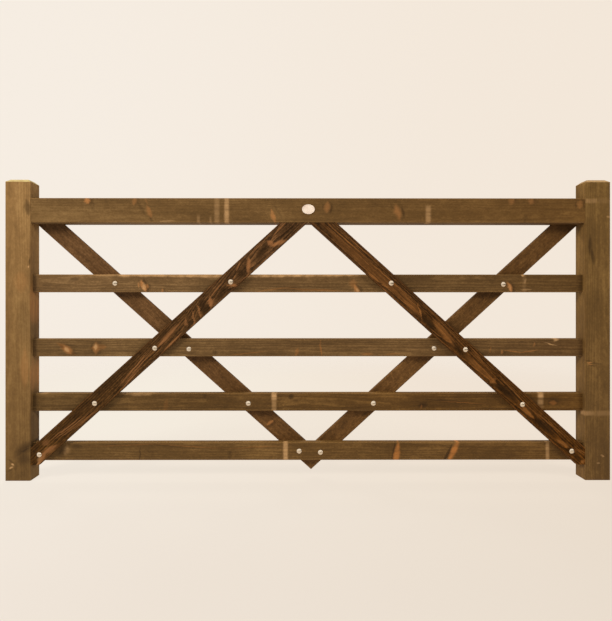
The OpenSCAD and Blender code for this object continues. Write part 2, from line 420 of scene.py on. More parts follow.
    def done(self, cut_top=None, side=1.0, painted_top_light=1.0, wear_and_sheen=0.3, gloss=0.20):
        """Lightens the long edges, partly as wear and partly as a painted highlight, paints light onto
        sides and tops where asked, shows the cut ends and puts the finish on its board.
        """
        board = self.board
        edge = (board.thick - abs(self.through)).most(board.wide - abs(self.across))
        # Painted highlight and wear: the long edges are lightened towards the pale tone, partly for real
        # wear and partly for the light that catches their rounded arrises.
        edge_wear_and_sheen = (edge + self.mottle * 0.006 + self.middle * 0.004).rise(WEAR_AND_SHEEN_FROM, WEAR_AND_SHEEN_FULL)
        colour = self.blend(self.colour, self.tones.light, edge_wear_and_sheen * wear_and_sheen)
        lengthwise = (math.cos(board.turn), 0.0, -math.sin(board.turn))
        sideways = (math.sin(board.turn), 0.0, math.cos(board.turn))
        normal = self.node("NewGeometry", out="True Normal")
        end = self.vector("DOT_PRODUCT", normal, lengthwise, out="Value")
        turned = self.vector("DOT_PRODUCT", normal, sideways, out="Value")
        # Painted light: faces turned to either side across the board are made lighter by this factor, for
        # the lamps' light that falls on them.
        if side != 1.0:
            colour = self.scaled(colour, abs(turned).rise(*SIDE_ON) * (side - 1.0) + 1.0)
        # Painted light: faces turned up across the board are made lighter by this factor, for the light
        # that falls on them from above.
        if painted_top_light != 1.0:
            colour = self.scaled(colour, turned.rise(*SIDE_ON) * (painted_top_light - 1.0) + 1.0)
        ringed = self.scaled(colour, self.fine * 1.2 + 0.8)
        colour = self.blend(colour, ringed, abs(end).rise(*END_ON))
        if cut_top:
            fresh = self.blend(cut_top, STRAW, self.mottle * 1.5 + self.fine + 0.2)
            colour = self.blend(colour, fresh, end.rise(*END_ON) * 0.9)
        rough = self.fine * 0.25 + self.middle * 0.2 + 0.78
        material = self.close(colour, rough, self.height, GRAIN_DEPTH, Specular_IOR_Level=gloss)
        dress(board.node, material)


# Bars and stiles

bar_tones = Tones(tint(58, 39, 18), tint(100, 72, 38), tint(150, 113, 66), tint(166, 106, 52))
top_tones = Tones(tint(72, 50, 24), tint(110, 79, 42), tint(154, 116, 68), AMBER)
hanging_tones = Tones(tint(84, 59, 31), tint(130, 96, 55), tint(172, 134, 82), AMBER)
closing_tones = Tones(tint(66, 46, 23), tint(101, 73, 38), tint(146, 110, 62), AMBER)
CUT_LEFT, CUT_RIGHT = tint(226, 204, 138), tint(196, 160, 112)

quiet_rings = Rings(gap=0.007, deep=6, heart=0.01, lean=0.006, bow=0.0,
                    tips=(-1.3, -0.5, 0.4, 1.3), way=1, waver=1.6)
# A board's tint, partly a painted sheen, fades over this far to either side of its middle.
LEVEL_REACH, UPRIGHT_REACH, BRACE_REACH = 1.1, 0.6, 0.7


def level_timber(node, seed, tones, rings, share, streak, fade, marks):
    board = Timber(level_board(node), seed, tones)
    board.plain_grain(rings, share, streak=streak)
    board.fade(*fade, LEVEL_REACH)
    board.show(marks)
    # The bars' top faces get painted light, 1.5 times as light as the rest.
    board.done(painted_top_light=1.5)


def upright_timber(node, seed, tones, rings, fade, cut_top, side, marks):
    board = Timber(upright_board(node), seed, tones)
    board.plain_grain(rings, share=0.10, speckle=0.31, fine=0.26)
    board.fade(*fade, UPRIGHT_REACH)
    board.show(marks)
    # The stiles' sides get painted light by the side factor; their edges a little painted highlight and
    # wear.
    board.done(cut_top, side, wear_and_sheen=0.08)


top_bar_marks = Marks(
    knots=[Mark(-0.877, 0.038, 0.015, 0.012, -68, 0.9), Mark(-0.690, 0.036, 0.018, 0.010, 80, 0.4),
           Mark(0.074, 0.012, 0.024, 0.012, 86, 0.42), Mark(0.355, -0.007, 0.032, 0.015, -73, 0.48),
           Mark(0.808, 0.036, 0.014, 0.014, 80, 0.3), Mark(0.886, 0.036, 0.014, 0.014, 80, 0.3),
           Mark(1.080, 0.024, 0.018, 0.013, 84, 0.3)],
    flames=[Mark(-0.631, -0.005, 0.030, 0.011, -66, 0.36), Mark(-0.139, -0.024, 0.034, 0.010, -72, 0.65),
            Mark(-0.643, 0.036, 0.018, 0.005, -60, 0.2)],
    dark=[Mark(-0.900, 0.0, 0.24, 0.08, 0, 0.10), Mark(-0.660, 0.006, 0.030, 0.010, -60, 0.35),
          Mark(0.377, -0.006, 0.026, 0.006, -77, 0.6), Mark(0.334, 0.015, 0.016, 0.006, -60, 0.35),
          Mark(0.090, 0.004, 0.022, 0.006, 82, 0.5), Mark(0.060, 0.014, 0.016, 0.004, 86, 0.3),
          Mark(0.822, 0.038, 0.012, 0.005, 86, 0.4), Mark(0.898, 0.038, 0.012, 0.005, 86, 0.5),
          Mark(1.064, 0.022, 0.016, 0.005, 86, 0.4), Mark(1.096, 0.020, 0.016, 0.005, 86, 0.4),
          Mark(-0.853, 0.022, 0.014, 0.006, -60, 0.4), Mark(-0.120, -0.004, 0.035, 0.006, -60, 0.3),
          Mark(0.862, -0.03, 0.02, 0.008, 85, 0.3), Mark(-0.622, -0.032, 0.016, 0.007, -70, 0.5),
          Mark(-0.860, 0.014, 0.030, 0.012, -50, 0.3)],
    scuffs=[Mark(-0.560, -0.043, 0.036, 0.005, 4, 0.35)],
    stripes=[Stripe(-0.324, 0.009, 0.75), Stripe(-0.363, 0.010, 0.35),
             Stripe(-0.436, 0.006, 0.3, high=-0.02), Stripe(-0.388, 0.004, 0.3, high=-0.026),
             Stripe(0.476, 0.010, 0.5, high=0.018)])
level_timber("top_bar", seed=1, tones=top_tones, rings=quiet_rings._replace(heart=-0.02),
             share=0.10, streak=0.20, fade=((1.01, 1.10, 1.26), (0.72, 0.69, 0.59)),
             marks=top_bar_marks)

second_bar_marks = Marks(
    knots=[Mark(-0.677, -0.006, 0.012, 0.004, -82, 0.6), Mark(-0.664, -0.004, 0.020, 0.007, -78, 0.85),
           Mark(-0.655, -0.018, 0.017, 0.009, -70, 1.0), Mark(-0.644, -0.012, 0.011, 0.005, -62, 0.6),
           Mark(-0.584, -0.030, 0.010, 0.005, 85, 0.5), Mark(0.194, -0.024, 0.022, 0.009, -62, 0.8),
           Mark(0.808, -0.016, 0.024, 0.009, -68, 0.9)],
    # The first of these, along the top edge, is a painted highlight where light falls from above; the rest
    # are scuffs.
    scuffs=[Mark(-0.33, 0.0325, 0.66, 0.010, 0, 0.85), Mark(0.860, 0.032, 0.008, 0.006, 0, 0.9),
            Mark(0.870, 0.010, 0.012, 0.005, 80, 0.3), Mark(0.874, -0.025, 0.028, 0.004, 2, 0.35),
            Mark(-0.657, -0.014, 0.020, 0.008, -78, 0.6), Mark(0.198, -0.027, 0.010, 0.006, -70, 0.45),
            Mark(0.807, -0.018, 0.014, 0.006, -70, 0.35)],
    flames=[Mark(0.18, 0.0, 0.02, 0.02, 80, 0.25), Mark(0.02, -0.026, 0.14, 0.004, -2, 0.3),
            Mark(-0.14, -0.024, 0.10, 0.004, 8, 0.25)],
    dark=[Mark(-0.935, 0.016, 0.022, 0.008, 10, 0.5), Mark(0.58, 0.0, 0.22, 0.07, 0, 0.14),
          Mark(0.44, -0.018, 0.10, 0.004, 3, 0.35), Mark(0.1, -0.018, 0.14, 0.003, -3, 0.35)],
    stripes=[Stripe(0.866, 0.007, 0.12)])
level_timber("second_bar", seed=2, tones=bar_tones, rings=quiet_rings._replace(heart=0.02, way=-1),
             share=0.16, streak=0.28, fade=((1.28, 1.39, 1.78), (0.73, 0.72, 0.66)),
             marks=second_bar_marks)

third_bar_marks = Marks(
    knots=[Mark(-0.961, -0.010, 0.024, 0.014, -48, 0.55), Mark(-0.848, -0.002, 0.026, 0.013, 88, 0.45),
           Mark(0.776, -0.018, 0.010, 0.005, 80, 0.5), Mark(0.905, 0.012, 0.010, 0.004, 85, 0.35)],
    flames=[Mark(0.050, -0.004, 0.040, 0.005, -84, 0.35, 0.5), Mark(0.235, -0.026, 0.030, 0.006, 0, 0.3),
            Mark(0.34, -0.026, 0.04, 0.004, 4, 0.2), Mark(0.731, -0.008, 0.016, 0.003, 80, 0.35),
            Mark(0.82, -0.016, 0.045, 0.0025, -8, 0.4), Mark(0.885, -0.016, 0.045, 0.003, 9, 0.4),
            Mark(-0.045, -0.018, 0.022, 0.009, 70, 0.3), Mark(-0.24, -0.023, 0.09, 0.003, 6, 0.22),
            Mark(-0.968, -0.004, 0.048, 0.014, -34, 0.3), Mark(-0.838, 0.000, 0.036, 0.015, 4, 0.28)],
    scuffs=[Mark(-0.964, -0.007, 0.015, 0.009, -48, 0.5), Mark(-0.849, 0.003, 0.014, 0.009, 88, 0.55),
            Mark(0.992, 0.033, 0.016, 0.009, 0, 0.75), Mark(0.972, 0.014, 0.034, 0.0025, -14, 0.5)],
    dark=[Mark(-0.372, -0.020, 0.008, 0.012, 80, 0.5), Mark(-0.984, 0.004, 0.018, 0.006, -38, 0.6),
          Mark(-0.864, 0.002, 0.018, 0.007, 88, 0.5), Mark(-0.955, 0.010, 0.045, 0.004, -10, 0.35),
          Mark(-0.940, -0.024, 0.030, 0.004, 8, 0.4), Mark(-0.845, 0.020, 0.030, 0.007, 0, 0.3),
          Mark(-0.845, -0.021, 0.032, 0.005, 0, 0.35)])
level_timber("third_bar", seed=3, tones=bar_tones, rings=quiet_rings._replace(heart=-0.03),
             share=0.16, streak=0.42, fade=((1.15, 1.25, 1.49), (0.81, 0.80, 0.84)),
             marks=third_bar_marks)

fourth_bar_marks = Marks(
    knots=[Mark(-0.790, 0.014, 0.012, 0.005, 40, 0.4)],
    dark=[Mark(-1.00, 0.0, 0.12, 0.07, 0, 0.12), Mark(0.459, -0.013, 0.022, 0.012, 8, 0.75),
          Mark(0.470, -0.012, 0.010, 0.005, 70, 0.6), Mark(0.966, -0.003, 0.014, 0.005, 82, 0.45),
          Mark(0.60, -0.006, 0.13, 0.0025, -3, 0.4), Mark(-0.068, 0.022, 0.012, 0.012, 80, 0.75),
          Mark(0.986, 0.000, 0.025, 0.016, 0, 0.55), Mark(0.55, 0.004, 0.13, 0.003, -5, 0.5),
          Mark(-0.415, 0.024, 0.012, 0.006, 80, 0.5)],
    flames=[Mark(-0.570, -0.014, 0.035, 0.012, 80, 0.12), Mark(0.981, -0.004, 0.019, 0.011, 0, 0.42),
            Mark(0.62, -0.003, 0.12, 0.002, -4, 0.25), Mark(0.452, -0.020, 0.010, 0.005, 82, 0.25)],
    # The first of these, along the top edge, is a painted highlight where light falls from above.
    scuffs=[Mark(-0.68, 0.034, 0.075, 0.011, 0, 0.28), Mark(-1.055, 0.034, 0.022, 0.004, 0, 0.25)],
    stripes=[Stripe(-0.137, 0.010, 0.95, low=0.006), Stripe(-0.137, 0.009, 0.5, high=0.006),
             Stripe(0.932, 0.011, 0.8, low=0.014), Stripe(0.931, 0.011, 0.7, low=-0.010, high=0.010),
             Stripe(0.934, 0.010, 0.25, low=-0.024, high=-0.014)])
level_timber("fourth_bar", seed=4, tones=bar_tones, rings=quiet_rings._replace(heart=0.0, lean=-0.01),
             share=0.16, streak=0.46, fade=((0.78, 0.81, 0.82), (0.79, 0.70, 0.48)),
             marks=fourth_bar_marks)

bottom_bar_marks = Marks(
    flames=[Mark(0.354, -0.016, 0.060, 0.0145, 82, 0.92), Mark(0.582, 0.000, 0.062, 0.0135, 63, 0.88, 0.2),
            Mark(-0.72, 0.025, 0.20, 0.003, 2, 0.2), Mark(-0.46, 0.019, 0.16, 0.003, -4, 0.22),
            Mark(-0.22, 0.016, 0.13, 0.003, 3, 0.22)],
    scuffs=[Mark(-0.966, 0.006, 0.024, 0.018, 75, 0.22)],
    dark=[Mark(-0.985, -0.004, 0.030, 0.018, 60, 0.6), Mark(-0.925, 0.020, 0.024, 0.009, 0, 0.5),
          Mark(-0.78, 0.0, 0.22, 0.07, 0, 0.10), Mark(0.341, -0.012, 0.055, 0.006, 81, 0.75),
          Mark(0.559, -0.010, 0.048, 0.006, 63, 0.8), Mark(-0.672, -0.012, 0.034, 0.004, 88, 0.7),
          Mark(-0.315, -0.012, 0.022, 0.010, 85, 0.35), Mark(-0.52, 0.018, 0.16, 0.003, -5, 0.35),
          Mark(-0.26, 0.012, 0.10, 0.003, 4, 0.35)],
    stripes=[Stripe(-0.091, 0.009, 0.9), Stripe(0.959, 0.007, 0.5)])
level_timber("bottom_bar", seed=5, tones=bar_tones, rings=quiet_rings._replace(heart=0.03, way=-1),
             share=0.14, streak=0.24, fade=((1.06, 1.10, 1.08), (0.73, 0.68, 0.55)),
             marks=bottom_bar_marks)

hanging_stile_marks = Marks(
    # The first five marks darken the stile's face beside the front brace's foot.
    dark=[Mark(-0.470, -0.030, 0.055, 0.022, -50, 0.7), Mark(-0.477, -0.028, 0.027, 0.007, -63, 0.95),
          Mark(-0.463, -0.037, 0.022, 0.006, -66, 0.85), Mark(-0.510, -0.024, 0.030, 0.030, 80, 0.6),
          Mark(-0.488, 0.004, 0.010, 0.026, 70, 0.35), Mark(0.485, -0.038, 0.034, 0.015, 8, 0.65),
          Mark(0.484, -0.024, 0.040, 0.004, 0, 0.25), Mark(0.272, -0.046, 0.018, 0.003, 0, 0.8),
          Mark(0.03, -0.052, 0.13, 0.007, 0, 0.4), Mark(-0.37, -0.052, 0.10, 0.007, 0, 0.4),
          Mark(0.035, -0.026, 0.085, 0.030, 0, 0.22), Mark(-0.557, 0.031, 0.013, 0.004, -70, 0.5),
          Mark(-0.520, 0.027, 0.014, 0.004, 62, 0.5), Mark(-0.540, 0.010, 0.020, 0.008, 0, 0.35)],
    scuffs=[Mark(-0.545, 0.026, 0.010, 0.004, -60, 0.8), Mark(-0.532, 0.021, 0.007, 0.005, 60, 0.8),
            Mark(0.250, -0.0415, 0.004, 0.005, 80, 0.95)],
    flames=[Mark(0.10, -0.052, 0.10, 0.006, 0, 0.4), Mark(-0.18, -0.053, 0.085, 0.007, 0, 0.45),
            Mark(-0.15, -0.028, 0.09, 0.022, 0, 0.22), Mark(0.19, -0.012, 0.05, 0.035, 0, 0.15)])
# The sides of this stile are painted 1.12 times as light.
upright_timber("hanging_stile", seed=6, tones=hanging_tones, rings=quiet_rings._replace(heart=0.02),
               fade=((0.63, 0.64, 0.59), (1.17, 1.22, 1.31)), cut_top=CUT_LEFT, side=1.12,
               marks=hanging_stile_marks)

closing_stile_marks = Marks(
    dark=[Mark(0.338, 0.031, 0.045, 0.008, 0, 0.75), Mark(0.290, 0.020, 0.035, 0.008, 8, 0.65),
          Mark(0.130, -0.002, 0.035, 0.006, 0, 0.3), Mark(-0.135, 0.008, 0.030, 0.004, 88, 0.45),
          Mark(-0.143, 0.024, 0.024, 0.003, 88, 0.5), Mark(-0.124, 0.036, 0.013, 0.003, 88, 0.4)],
    flames=[Mark(-0.131, 0.033, 0.013, 0.0035, 88, 0.55), Mark(-0.139, 0.030, 0.012, 0.003, 88, 0.35)],
    scuffs=[Mark(-0.500, -0.018, 0.010, 0.005, 70, 0.32), Mark(-0.530, -0.002, 0.009, 0.005, 80, 0.32),
            Mark(0.450, -0.042, 0.010, 0.005, 80, 0.3)],
    stripes=[Stripe(0.512, 0.009, 0.30, low=0.004), Stripe(0.512, 0.010, 0.10, high=0.004),
             Stripe(-0.332, 0.009, 0.42, low=0.014), Stripe(-0.332, 0.010, 0.20, high=0.014)])
# The sides of this stile are painted 1.35 times as light.
upright_timber("closing_stile", seed=7, tones=closing_tones, rings=quiet_rings._replace(heart=-0.02),
               fade=((0.85, 0.86, 0.88), (1.07, 1.12, 1.08)), cut_top=CUT_RIGHT, side=1.35,
               marks=closing_stile_marks)


# Braces

front_tones = Tones(tint(44, 28, 13), tint(70, 44, 20), tint(116, 75, 40), tint(151, 101, 60))
rear_tones = Tones(tint(60, 39, 19), tint(98, 67, 36), tint(136, 97, 58), AMBER)

# The colours of one ring, from its start to its end.
left_figure = [(0.0, tint(57, 36, 17)), (0.3, tint(66, 42, 20)), (0.7, tint(81, 52, 26)),
               (0.93, tint(101, 65, 34)), (0.97, tint(103, 66, 35)), (1.0, tint(55, 35, 17))]
right_figure = [(0.0, tint(52, 33, 14)), (0.3, tint(64, 41, 18)), (0.7, tint(85, 54, 24)),
                (0.93, tint(110, 70, 33)), (0.97, tint(112, 71, 34)), (1.0, tint(50, 31, 13))]

left_rings = Rings(gap=0.0065, deep=7, heart=-0.043, lean=0.021, bow=0.0575,
                   tips=(0.90, 0.728, 0.595, 0.500, 0.395, 0.335, 0.300, 0.120, -0.20, -0.6),
                   way=-1, waver=0.8)
right_rings = Rings(gap=0.006, deep=4.5, heart=-0.013, lean=0.0, bow=0.0,
                    tips=(-1.0, -0.300, -0.140, 0.080, 0.280, 0.460, 0.62), way=1, waver=0.7)


def front_timber(node, seed, way, tones, figure, rings, fade, marks):
    board = Timber(front_brace_board(node, way), seed, tones)
    board.tear()
    board.bold_grain(rings, figure)
    board.fade(*fade, BRACE_REACH)
    board.show(marks)
    board.done(gloss=0.08)


def rear_timber(node, seed, way, fade, marks):
    board = Timber(rear_brace_board(node, way), seed, rear_tones)
    board.plain_grain(quiet_rings._replace(heart=0.02 * way), share=0.10, speckle=0.75, fine=0.8,
                      mottle=0.4)
    board.fade(*fade, BRACE_REACH)
    board.show(marks)
    board.done()


front_brace_left_marks = Marks(
    flames=[Mark(0.735, 0.002, 0.018, 0.012, 100, 0.8), Mark(0.757, -0.019, 0.040, 0.010, -21, 0.85),
            Mark(0.800, 0.019, 0.050, 0.004, 6, 0.45), Mark(0.612, -0.006, 0.040, 0.010, 45, 0.75),
            Mark(0.690, 0.024, 0.060, 0.003, 5, 0.45), Mark(0.577, 0.018, 0.024, 0.004, 28, 0.55),
            Mark(0.512, -0.022, 0.030, 0.007, -50, 0.7), Mark(0.403, -0.012, 0.028, 0.012, 55, 0.85),
            Mark(0.455, 0.009, 0.055, 0.004, 7, 0.5), Mark(0.346, -0.008, 0.032, 0.006, 62, 0.6),
            Mark(0.312, -0.012, 0.028, 0.005, 62, 0.6), Mark(0.276, -0.008, 0.020, 0.008, 60, 0.5),
            Mark(0.185, 0.001, 0.080, 0.009, 5, 0.65), Mark(0.185, -0.029, 0.060, 0.004, 3, 0.7),
            Mark(0.0, -0.004, 0.11, 0.003, 7, 0.6), Mark(0.01, -0.014, 0.10, 0.003, 7, 0.6),
            Mark(-0.03, -0.025, 0.07, 0.003, 7, 0.55), Mark(-0.36, 0.001, 0.10, 0.003, -6, 0.5),
            Mark(-0.33, -0.010, 0.11, 0.003, -5, 0.6), Mark(-0.32, -0.019, 0.10, 0.003, -5, 0.5),
            Mark(-0.27, -0.027, 0.07, 0.003, -2, 0.5), Mark(-0.465, -0.018, 0.045, 0.014, -10, 0.6),
            Mark(-0.510, -0.024, 0.034, 0.011, 10, 0.6), Mark(-0.455, 0.012, 0.014, 0.02, 80, 0.3)],
    dark=[Mark(0.366, -0.010, 0.034, 0.018, 62, 0.8), Mark(0.680, -0.004, 0.045, 0.022, 30, 0.6),
          Mark(0.820, -0.006, 0.055, 0.022, -10, 0.6), Mark(0.455, -0.012, 0.035, 0.014, 10, 0.5),
          Mark(0.565, -0.012, 0.022, 0.022, 60, 0.5), Mark(-0.15, 0.018, 0.32, 0.020, 3, 0.5),
          Mark(-0.17, -0.008, 0.03, 0.02, 30, 0.35), Mark(0.22, 0.022, 0.14, 0.010, 4, 0.4),
          Mark(0.850, 0.002, 0.050, 0.030, 0, 0.4), Mark(-0.535, 0.004, 0.020, 0.014, 50, 0.3),
          Mark(-0.500, 0.022, 0.030, 0.012, 40, 0.5)],
    scuffs=[Mark(-0.520, -0.022, 0.022, 0.010, 40, 0.22)])
front_timber("front_brace_left", seed=8, way=1, tones=front_tones, figure=left_figure,
             rings=left_rings, fade=((0.78, 0.80, 0.49), (1.12, 1.26, 1.52)),
             marks=front_brace_left_marks)

front_brace_right_marks = Marks(
    flames=[Mark(-0.72, 0.011, 0.13, 0.003, 1, 0.6), Mark(-0.50, 0.010, 0.16, 0.003, 0, 0.55),
            Mark(-0.335, -0.004, 0.042, 0.004, -33, 0.7), Mark(-0.565, -0.026, 0.040, 0.006, 2, 0.65),
            Mark(-0.505, -0.020, 0.022, 0.005, 20, 0.5), Mark(-0.62, -0.008, 0.28, 0.022, 0, 0.28),
            Mark(-0.38, -0.008, 0.08, 0.018, -8, 0.35), Mark(-0.21, -0.003, 0.080, 0.016, -10, 0.42),
            Mark(-0.20, 0.006, 0.070, 0.003, -9, 0.45), Mark(0.0, -0.012, 0.095, 0.018, 0, 0.24),
            Mark(0.062, -0.012, 0.018, 0.014, 85, 0.45), Mark(0.246, -0.012, 0.042, 0.014, -4, 0.42),
            Mark(0.438, -0.010, 0.036, 0.010, 10, 0.45), Mark(0.545, -0.010, 0.014, 0.009, 60, 0.45),
            Mark(0.510, 0.016, 0.040, 0.0025, 13, 0.5), Mark(0.505, 0.009, 0.036, 0.0025, 12, 0.45),
            Mark(-0.05, 0.022, 0.06, 0.003, -8, 0.4), Mark(-0.02, 0.014, 0.07, 0.003, -4, 0.4),
            Mark(0.15, 0.012, 0.12, 0.003, -4, 0.4), Mark(0.33, 0.011, 0.13, 0.003, 4, 0.4),
            Mark(-0.68, 0.025, 0.13, 0.003, 1, 0.35), Mark(-0.25, 0.022, 0.14, 0.003, -3, 0.35)],
    dark=[Mark(0.145, -0.006, 0.060, 0.022, 0, 0.6), Mark(0.345, -0.006, 0.055, 0.018, 0, 0.6),
          Mark(-0.275, -0.018, 0.024, 0.014, -30, 0.6), Mark(-0.70, -0.003, 0.012, 0.010, 0, 0.5),
          Mark(-0.645, -0.004, 0.016, 0.012, 80, 0.5), Mark(-0.36, 0.026, 0.14, 0.010, -2, 0.5)])
front_timber("front_brace_right", seed=9, way=-1, tones=front_tones._replace(flame=tint(152, 99, 50)),
             figure=right_figure, rings=right_rings, fade=((0.80, 0.85, 1.02), (0.92, 0.80, 0.36)),
             marks=front_brace_right_marks)

rear_brace_left_marks = Marks(
    knots=[Mark(0.337, -0.006, 0.018, 0.007, 84, 0.6)])
rear_timber("rear_brace_left", seed=10, way=-1, fade=((0.96, 1.01, 1.14), (0.85, 0.82, 0.65)),
            marks=rear_brace_left_marks)

rear_brace_right_marks = Marks(
    dark=[Mark(-0.36, 0.012, 0.03, 0.012, 10, 0.3), Mark(0.55, -0.004, 0.02, 0.016, 60, 0.25)])
rear_timber("rear_brace_right", seed=11, way=1, fade=((1.17, 1.18, 1.05), (0.75, 0.74, 0.62)),
            marks=rear_brace_right_marks)


# Pegs, zinc and badge

def peg_finish():
    oak = Finish(bpy.data.materials.new("oak_peg"))
    spot = oak.place()
    grain = oak.noise(spot, waves=(900, 40, 900), seed=(1.3, 0.7, 2.1), detail=3.0)
    speck = oak.noise(spot, waves=(260, 30, 260), seed=(5.1, 3.3, 0.4))
    stops = [(0.3, tint(120, 86, 50)), (0.7, tint(182, 140, 92))]
    colour = oak.ramp(stops, grain * 0.6 + speck * 0.4)
    return oak.close(colour, roughness=grain * 0.2 + 0.6, height=grain, depth=0.0004,
                     Specular_IOR_Level=0.3)


def zinc_finish():
    coat = Finish(bpy.data.materials.new("galvanised_zinc"))
    spot = coat.place()
    spangle = coat.node("TexVoronoi", {"feature": "F1"}, {"Vector": spot, "Scale": 420.0}, out="Color")
    flake, _, _ = coat.parts(spangle)
    cloud = coat.noise(spot, waves=(160, 160, 160), seed=(2.0, 7.0, 4.0), detail=3.0)
    stops = [(0.0, tint(208, 188, 162)), (1.0, tint(238, 222, 198))]
    colour = coat.ramp(stops, flake * 0.5 + cloud * 0.5)
    return coat.close(colour, roughness=cloud * 0.12 + flake * 0.06 + 0.12, height=cloud,
                      depth=0.0002, Metallic=0.9)


def badge_finish():
    enamel = Finish(bpy.data.materials.new("white_enamel"))
    spot = enamel.place()
    cloud = enamel.noise(spot, waves=(60, 60, 60), seed=(0.4, 0.9, 6.0), detail=3.0)
    peel = enamel.noise(spot, waves=(700, 700, 700), seed=(3.4, 0.2, 1.0))
    stops = [(0.3, tint(236, 214, 196)), (0.7, tint(248, 232, 214))]
    colour = enamel.ramp(stops, cloud)
    return enamel.close(colour, roughness=cloud * 0.2 + 0.25, height=peel, depth=0.0001,
                        Coat_Weight=0.3)


peg_oak = peg_finish()
zinc = zinc_finish()
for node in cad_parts:
    if node.endswith("_pegs"):
        dress(node, peg_oak)
    elif node.endswith(("_washers", "_nuts")):
        dress(node, zinc)
dress("badge_plate", badge_finish())


# Coach bolts: turned once with head, square neck and thread, then copied to every crossing

HEAD_WIDE, HEAD_TALL, HEAD_RIM, HEAD_STEP = 0.020, 0.005, 0.0005, 0.00005
NECK_WIDE, NECK_TALL, NECK_BEVEL = 0.008, 0.005, 0.0004
SHANK_RADIUS, BOLT_LONG = 0.004, 0.065
THREAD_LONG, THREAD_PITCH, THREAD_DEEP = 0.022, 0.00125, 0.0005
BOLT_SIDES, DOME_STEPS = 32, 9
SMOOTH_BELOW = math.radians(40)
UNDER_BARS = ("second_bar", "third_bar", "fourth_bar", "bottom_bar")


def bolt_outline():
    """From the middle of the domed head to the end of the thread: (y, radius)."""
    edge, dome = HEAD_WIDE / 2, HEAD_TALL - HEAD_RIM
    ball = (edge * edge + dome * dome) / (2 * dome)
    sweep = math.asin(edge / ball)
    outline = []
    for step in range(1, DOME_STEPS + 1):
        angle = sweep * step / DOME_STEPS
        outline.append((ball * (1 - math.cos(angle)) - HEAD_TALL, ball * math.sin(angle)))
    outline += [(-HEAD_RIM / 3, edge), (0.0, edge - HEAD_RIM / 2), (HEAD_STEP, SHANK_RADIUS)]
    turn = BOLT_LONG - THREAD_LONG
    while turn < BOLT_LONG - THREAD_PITCH:
        outline += [(turn, SHANK_RADIUS), (turn + THREAD_PITCH / 2, SHANK_RADIUS - THREAD_DEEP)]
        turn += THREAD_PITCH
    return outline + [(BOLT_LONG, SHANK_RADIUS - 2 * THREAD_DEEP)]


def turned_bolt():
    outline = bolt_outline()
    start, radius = outline[0]
    bpy.ops.object.select_all(action="DESELECT")
    bpy.ops.mesh.primitive_circle_add(vertices=BOLT_SIDES, radius=radius, fill_type="NGON",
                                      location=(0, start, 0), rotation=(math.radians(90), 0, 0))
    bpy.ops.object.transform_apply(location=True, rotation=True, scale=True)
    bolt = bpy.context.object
    bpy.ops.object.mode_set(mode="EDIT")
    bpy.ops.mesh.select_all(action="SELECT")
    for (y, radius), (next_y, next_radius) in zip(outline, outline[1:]):
        bpy.ops.mesh.extrude_region_move(TRANSFORM_OT_translate={"value": (0, next_y - y, 0)})
        size = next_radius / radius
        bpy.ops.transform.resize(value=(size, 1, size), center_override=(0, next_y, 0))
    bpy.ops.mesh.select_all(action="SELECT")
    bpy.ops.mesh.normals_make_consistent(inside=False)
    bpy.ops.object.mode_set(mode="OBJECT")
    return bolt


def square_neck():
    """The neck under the head, sunk half-way into the head."""
    sunk = HEAD_TALL / 2
    bpy.ops.object.select_all(action="DESELECT")
    bpy.ops.mesh.primitive_cube_add(size=1, location=(0, NECK_TALL / 2 - sunk / 2, 0),
                                    scale=(NECK_WIDE, NECK_TALL + sunk, NECK_WIDE))
    bpy.ops.object.transform_apply(location=True, rotation=True, scale=True)
    neck = bpy.context.object
    bpy.ops.object.mode_set(mode="EDIT")
    bpy.ops.mesh.select_all(action="SELECT")
    bpy.ops.mesh.bevel(offset=NECK_BEVEL, segments=1, affect="EDGES")
    bpy.ops.object.mode_set(mode="OBJECT")
    return neck


def coach_bolt():
    bolt, neck = turned_bolt(), square_neck()
    bpy.ops.object.select_all(action="DESELECT")
    bolt.select_set(True)
    bpy.context.view_layer.objects.active = bolt
    union = bolt.modifiers.new("neck", "BOOLEAN")
    union.operation, union.solver, union.object = "UNION", "EXACT", neck
    bpy.ops.object.modifier_apply(modifier="neck")
    bpy.ops.object.shade_smooth_by_angle(angle=SMOOTH_BELOW)
    bpy.data.objects.remove(neck)
    return bolt


def bolt_seats(node):
    """Where the heads of a packed group of bolts sit, one at each under bar."""
    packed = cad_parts[node]
    spots = [packed.matrix_world @ corner.co for corner in packed.data.vertices]
    seat = min(spot.y for spot in spots) + HEAD_TALL
    for bar in UNDER_BARS:
        low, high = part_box(bar)
        here = [spot for spot in spots if low.z < spot.z < high.z]
        x = [spot.x for spot in here]
        z = [spot.z for spot in here]
        yield Vector(((min(x) + max(x)) / 2, seat, (min(z) + max(z)) / 2))


def fit_bolts(pattern, node, finish):
    copies = []
    for seat in bolt_seats(node):
        bpy.ops.object.select_all(action="DESELECT")
        pattern.select_set(True)
        bpy.context.view_layer.objects.active = pattern
        bpy.ops.object.duplicate(linked=False)
        bpy.ops.transform.translate(value=seat)
        bpy.ops.object.transform_apply(location=True, rotation=True, scale=True)
        copies.append(bpy.context.object)
    bpy.ops.object.select_all(action="DESELECT")
    for copy in copies:
        copy.select_set(True)
    bpy.context.view_layer.objects.active = copies[0]
    bpy.ops.object.join()
    group = bpy.context.object
    group.name = node.replace("_bolts", "_coach_bolts")
    group.data.materials.clear()
    group.data.materials.append(finish)
    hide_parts(node)
    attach(group, "root")


pattern = coach_bolt()
for node in ("front_left_bolts", "front_right_bolts", "rear_left_bolts", "rear_right_bolts"):
    fit_bolts(pattern, node, zinc)
bpy.data.objects.remove(pattern)


# Stage, light and camera

FLOOR_RADIUS, FLOOR_SIDES, FLOOR_DROP = 9.0, 96, 0.0005
# The floor's tint changes over this far to either side, and to the front and the back.
FLOOR_ASIDE, FLOOR_AHEAD = 1.2, 0.9
